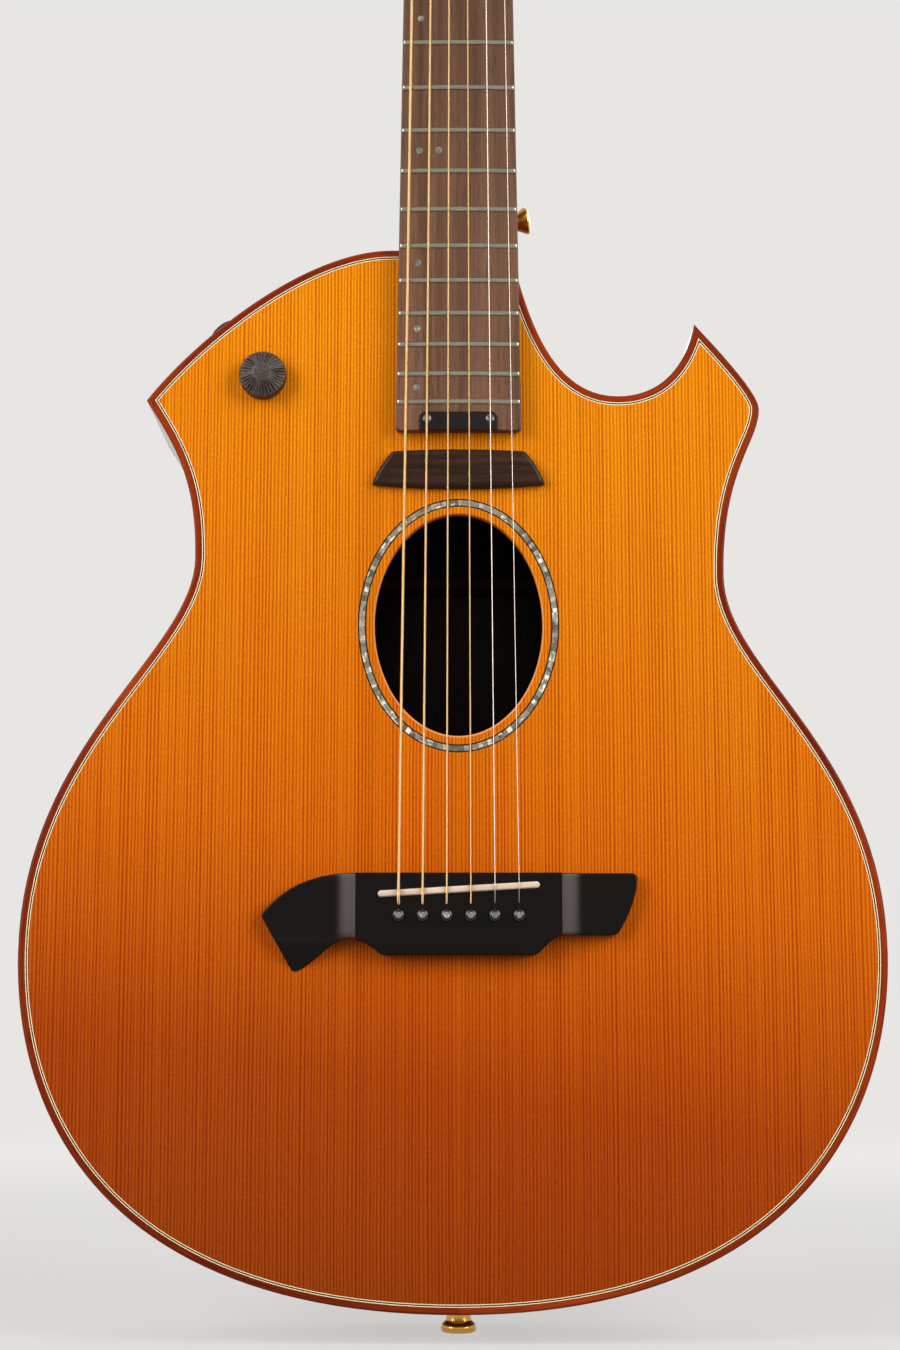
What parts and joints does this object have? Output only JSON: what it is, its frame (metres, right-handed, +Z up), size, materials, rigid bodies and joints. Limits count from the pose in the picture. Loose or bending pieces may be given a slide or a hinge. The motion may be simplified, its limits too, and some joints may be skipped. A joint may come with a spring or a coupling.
{
  "type": "acoustic-electric guitar",
  "caption": "Steel-string acoustic-electric guitar with a deep treble cutaway, oval sound hole, carved asymmetric bridge, neck pickup, preamp and a tilted headstock with enclosed tuners.",
  "frame": {"origin": "the tail: the lowest point of the rim on the string centre line, halfway through the body's depth, where a stand's cradle or the end pin's axis meets the rim", "axes": "+Z up the neck towards the headstock, -Y out of the soundboard, +X towards the treble side"},
  "size_m": [0.3779, 0.11, 1.0141],
  "materials": {
    "amber_spruce": "glossy amber-tinted lacquer over straight-grained spruce",
    "red_brown_wood": "glossy lacquer over dark red-brown hardwood",
    "neck_mahogany": "satin lacquer over mahogany",
    "rosewood": "oiled, open-grained",
    "ebony": "polished, near black",
    "pale_bracing_wood": "bare, sanded",
    "abalone": "polished shell, shifting green, blue and pink",
    "bone": "polished bone",
    "black_plastic": "satin black",
    "gold_plate": "bright gold plating",
    "steel": "plain steel",
    "bronze_winding": "fine bronze winding"
  },
  "bodies": {
    "guitar": {"soundboard": "amber_spruce", "back_plate": "red_brown_wood", "rim": "red_brown_wood", "top_binding": "red_brown_wood", "back_binding": "red_brown_wood", "rosette": "abalone", "top_lining": "pale_bracing_wood", "back_lining": "pale_bracing_wood", "neck_block": "pale_bracing_wood", "tail_block": "pale_bracing_wood", "x_brace": "pale_bracing_wood", "transverse_brace": "pale_bracing_wood", "bridge_plate": "pale_bracing_wood", "back_brace_upper": "pale_bracing_wood", "back_brace_lower": "pale_bracing_wood", "bridge": "ebony", "saddle": "bone", "saddle_pickup": "steel", "bridge_pin_1": "ebony", "bridge_pin_2": "ebony", "bridge_pin_3": "ebony", "bridge_pin_4": "ebony", "bridge_pin_5": "ebony", "bridge_pin_6": "ebony", "neck": "neck_mahogany", "truss_rod": "steel", "fingerboard": "rosewood", "nut": "bone", "string_1": "steel", "string_2": "steel", "string_3": "bronze_winding", "string_4": "bronze_winding", "string_5": "bronze_winding", "string_6": "bronze_winding", "tuner_housing_1": "gold_plate", "tuner_housing_2": "gold_plate", "tuner_housing_3": "gold_plate", "tuner_housing_4": "gold_plate", "tuner_housing_5": "gold_plate", "tuner_housing_6": "gold_plate", "heel_strap_button": "gold_plate", "end_pin_jack": "gold_plate", "pickup_cover": "ebony", "adjuster_cover": "black_plastic", "preamp_panel": "black_plastic"},
    "button_1": {"tuner_button_1": "gold_plate"},
    "post_1": {"tuner_post_1": "gold_plate"},
    "button_2": {"tuner_button_2": "gold_plate"},
    "post_2": {"tuner_post_2": "gold_plate"},
    "button_3": {"tuner_button_3": "gold_plate"},
    "post_3": {"tuner_post_3": "gold_plate"},
    "button_4": {"tuner_button_4": "gold_plate"},
    "post_4": {"tuner_post_4": "gold_plate"},
    "button_5": {"tuner_button_5": "gold_plate"},
    "post_5": {"tuner_post_5": "gold_plate"},
    "button_6": {"tuner_button_6": "gold_plate"},
    "post_6": {"tuner_post_6": "gold_plate"},
    "volume_knob": {"volume_knob": "ebony"},
    "preamp_knob_front": {"preamp_knob_front": "black_plastic"},
    "preamp_knob_rear": {"preamp_knob_rear": "black_plastic"}
  },
  "joints": [
    {"name": "tuner_button_1_turn", "type": "hinge", "parent": "guitar", "child": "button_1", "pos_m": [0.03103, -0.01742, 0.8724], "axis": [1, 0, 0], "continuous": true},
    {"name": "tuner_post_1_turn", "type": "hinge", "parent": "guitar", "child": "post_1", "pos_m": [0.02378, -0.03735, 0.87738], "axis": [0, -0.9703, 0.2419], "continuous": true},
    {"name": "tuner_button_2_turn", "type": "hinge", "parent": "guitar", "child": "button_2", "pos_m": [0.03225, -0.00726, 0.91316], "axis": [1, 0, 0], "continuous": true},
    {"name": "tuner_post_2_turn", "type": "hinge", "parent": "guitar", "child": "post_2", "pos_m": [0.025, -0.0272, 0.91813], "axis": [0, -0.9703, 0.2419], "continuous": true},
    {"name": "tuner_button_3_turn", "type": "hinge", "parent": "guitar", "child": "button_3", "pos_m": [0.03347, 0.00291, 0.95391], "axis": [1, 0, 0], "continuous": true},
    {"name": "tuner_post_3_turn", "type": "hinge", "parent": "guitar", "child": "post_3", "pos_m": [0.02622, -0.01703, 0.95888], "axis": [0, -0.9703, 0.2419], "continuous": true},
    {"name": "tuner_button_4_turn", "type": "hinge", "parent": "guitar", "child": "button_4", "pos_m": [-0.03347, 0.00291, 0.95391], "axis": [-1, 0, 0], "continuous": true},
    {"name": "tuner_post_4_turn", "type": "hinge", "parent": "guitar", "child": "post_4", "pos_m": [-0.02622, -0.01703, 0.95888], "axis": [0, -0.9703, 0.2419], "continuous": true},
    {"name": "tuner_button_5_turn", "type": "hinge", "parent": "guitar", "child": "button_5", "pos_m": [-0.03225, -0.00726, 0.91316], "axis": [-1, 0, 0], "continuous": true},
    {"name": "tuner_post_5_turn", "type": "hinge", "parent": "guitar", "child": "post_5", "pos_m": [-0.025, -0.0272, 0.91813], "axis": [0, -0.9703, 0.2419], "continuous": true},
    {"name": "tuner_button_6_turn", "type": "hinge", "parent": "guitar", "child": "button_6", "pos_m": [-0.03103, -0.01742, 0.8724], "axis": [-1, 0, 0], "continuous": true},
    {"name": "tuner_post_6_turn", "type": "hinge", "parent": "guitar", "child": "post_6", "pos_m": [-0.02378, -0.03735, 0.87738], "axis": [0, -0.9703, 0.2419], "continuous": true},
    {"name": "volume_knob_turn", "type": "hinge", "parent": "guitar", "child": "volume_knob", "pos_m": [-0.0878, -0.048, 0.4105], "axis": [0, -1, 0], "range_deg": [-150, 150]},
    {"name": "preamp_knob_front_turn", "type": "hinge", "parent": "guitar", "child": "preamp_knob_front", "pos_m": [-0.1048, -0.018, 0.43586], "axis": [-0.6052, 0, 0.7961], "range_deg": [-150, 150]},
    {"name": "preamp_knob_rear_turn", "type": "hinge", "parent": "guitar", "child": "preamp_knob_rear", "pos_m": [-0.1048, 0.012, 0.43586], "axis": [-0.6052, 0, 0.7961], "range_deg": [-150, 150]}
  ],
  "couplings": [
    {"joint": "tuner_post_1_turn", "follows": "tuner_button_1_turn", "ratio": -0.0625},
    {"joint": "tuner_post_2_turn", "follows": "tuner_button_2_turn", "ratio": -0.0625},
    {"joint": "tuner_post_3_turn", "follows": "tuner_button_3_turn", "ratio": -0.0625},
    {"joint": "tuner_post_4_turn", "follows": "tuner_button_4_turn", "ratio": 0.0625},
    {"joint": "tuner_post_5_turn", "follows": "tuner_button_5_turn", "ratio": 0.0625},
    {"joint": "tuner_post_6_turn", "follows": "tuner_button_6_turn", "ratio": 0.0625}
  ]
}
